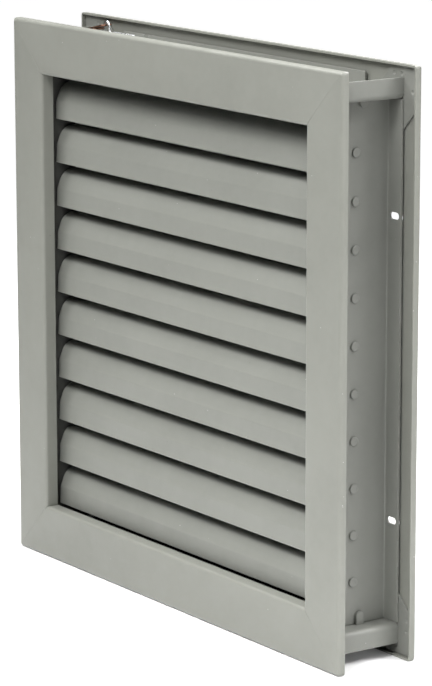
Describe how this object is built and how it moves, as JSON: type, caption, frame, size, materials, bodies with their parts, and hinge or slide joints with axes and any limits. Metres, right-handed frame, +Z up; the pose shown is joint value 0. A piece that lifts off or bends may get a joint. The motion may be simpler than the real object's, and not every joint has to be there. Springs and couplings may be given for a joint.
{
  "type": "louvred air grille",
  "caption": "Louvred air grille for a door: two flanged frames clamp a channel core whose arched blades turn together and shut when a fusible link lets go.",
  "frame": {"origin": "middle of the bottom edge of the grille, at half its depth and on the surface it stands on", "axes": "+X to the right seen from the front frame, +Y from the front frame to the rear frame, +Z up"},
  "size_m": [0.3302, 0.054, 0.3302],
  "materials": {
    "frame_paint": "satin grey-green enamel",
    "core_paint": "satin grey-green enamel, thinner inside",
    "blade_paint": "satin grey-green enamel",
    "zinc": "bright zinc plate",
    "link_copper": "dull copper plate"
  },
  "bodies": {
    "core": {"front_frame_bottom": "frame_paint", "front_frame_left": "frame_paint", "front_frame_top": "frame_paint", "front_frame_right": "frame_paint", "front_corner_key_bottom_left": "core_paint", "front_corner_key_top_left": "core_paint", "front_corner_key_top_right": "core_paint", "front_corner_key_bottom_right": "core_paint", "rear_frame_bottom": "frame_paint", "rear_frame_left": "frame_paint", "rear_frame_top": "frame_paint", "rear_frame_right": "frame_paint", "rear_corner_key_bottom_left": "core_paint", "rear_corner_key_top_left": "core_paint", "rear_corner_key_top_right": "core_paint", "rear_corner_key_bottom_right": "core_paint", "side_jamb_left": "core_paint", "side_jamb_right": "core_paint", "sill_rail": "core_paint", "head_rail": "core_paint", "head_stop": "core_paint", "sill_stop": "core_paint", "fusible_link_upper_plate": "link_copper", "link_hook": "zinc", "hold_open_spring": "zinc", "spring_post": "zinc"},
    "blade_01": {"blade_01": "blade_paint", "pivot_rivet_left_01": "core_paint", "pivot_rivet_right_01": "core_paint"},
    "blade_02": {"blade_02": "blade_paint", "pivot_rivet_left_02": "core_paint", "pivot_rivet_right_02": "core_paint"},
    "blade_03": {"blade_03": "blade_paint", "pivot_rivet_left_03": "core_paint", "pivot_rivet_right_03": "core_paint"},
    "blade_04": {"blade_04": "blade_paint", "pivot_rivet_left_04": "core_paint", "pivot_rivet_right_04": "core_paint"},
    "blade_05": {"blade_05": "blade_paint", "pivot_rivet_left_05": "core_paint", "pivot_rivet_right_05": "core_paint"},
    "blade_06": {"blade_06": "blade_paint", "pivot_rivet_left_06": "core_paint", "pivot_rivet_right_06": "core_paint"},
    "blade_07": {"blade_07": "blade_paint", "pivot_rivet_left_07": "core_paint", "pivot_rivet_right_07": "core_paint"},
    "blade_08": {"blade_08": "blade_paint", "pivot_rivet_left_08": "core_paint", "pivot_rivet_right_08": "core_paint"},
    "blade_09": {"blade_09": "blade_paint", "pivot_rivet_left_09": "core_paint", "pivot_rivet_right_09": "core_paint"},
    "blade_10": {"blade_10": "blade_paint", "pivot_rivet_left_10": "core_paint", "pivot_rivet_right_10": "core_paint"},
    "drive_link": {"drive_bar": "zinc", "fusible_link_lower_plate": "link_copper"}
  },
  "joints": [
    {"name": "blade_01_pivot", "type": "hinge", "parent": "core", "child": "blade_01", "pos_m": [0, 0.001, 0.28263], "axis": [-1, 0, 0], "range_deg": [0, 28]},
    {"name": "blade_02_pivot", "type": "hinge", "parent": "core", "child": "blade_02", "pos_m": [0, 0.001, 0.25606], "axis": [-1, 0, 0], "range_deg": [0, 28]},
    {"name": "blade_03_pivot", "type": "hinge", "parent": "core", "child": "blade_03", "pos_m": [0, 0.001, 0.22949], "axis": [-1, 0, 0], "range_deg": [0, 28]},
    {"name": "blade_04_pivot", "type": "hinge", "parent": "core", "child": "blade_04", "pos_m": [0, 0.001, 0.20292], "axis": [-1, 0, 0], "range_deg": [0, 28]},
    {"name": "blade_05_pivot", "type": "hinge", "parent": "core", "child": "blade_05", "pos_m": [0, 0.001, 0.17635], "axis": [-1, 0, 0], "range_deg": [0, 28]},
    {"name": "blade_06_pivot", "type": "hinge", "parent": "core", "child": "blade_06", "pos_m": [0, 0.001, 0.14978], "axis": [-1, 0, 0], "range_deg": [0, 28]},
    {"name": "blade_07_pivot", "type": "hinge", "parent": "core", "child": "blade_07", "pos_m": [0, 0.001, 0.12321], "axis": [-1, 0, 0], "range_deg": [0, 28]},
    {"name": "blade_08_pivot", "type": "hinge", "parent": "core", "child": "blade_08", "pos_m": [0, 0.001, 0.09664], "axis": [-1, 0, 0], "range_deg": [0, 28]},
    {"name": "blade_09_pivot", "type": "hinge", "parent": "core", "child": "blade_09", "pos_m": [0, 0.001, 0.07007], "axis": [-1, 0, 0], "range_deg": [0, 28]},
    {"name": "blade_10_pivot", "type": "hinge", "parent": "core", "child": "blade_10", "pos_m": [0, 0.001, 0.0435], "axis": [-1, 0, 0], "range_deg": [0, 28]},
    {"name": "drive_bar_swing", "type": "hinge", "parent": "blade_01", "child": "drive_link", "pos_m": [-0.13885, 0.01022, 0.28493], "axis": [-1, 0, 0], "range_deg": [-28, 0]}
  ],
  "couplings": [
    {"joint": "blade_02_pivot", "follows": "blade_01_pivot", "ratio": 1},
    {"joint": "blade_03_pivot", "follows": "blade_01_pivot", "ratio": 1},
    {"joint": "blade_04_pivot", "follows": "blade_01_pivot", "ratio": 1},
    {"joint": "blade_05_pivot", "follows": "blade_01_pivot", "ratio": 1},
    {"joint": "blade_06_pivot", "follows": "blade_01_pivot", "ratio": 1},
    {"joint": "blade_07_pivot", "follows": "blade_01_pivot", "ratio": 1},
    {"joint": "blade_08_pivot", "follows": "blade_01_pivot", "ratio": 1},
    {"joint": "blade_09_pivot", "follows": "blade_01_pivot", "ratio": 1},
    {"joint": "blade_10_pivot", "follows": "blade_01_pivot", "ratio": 1},
    {"joint": "drive_bar_swing", "follows": "blade_01_pivot", "ratio": -1}
  ]
}
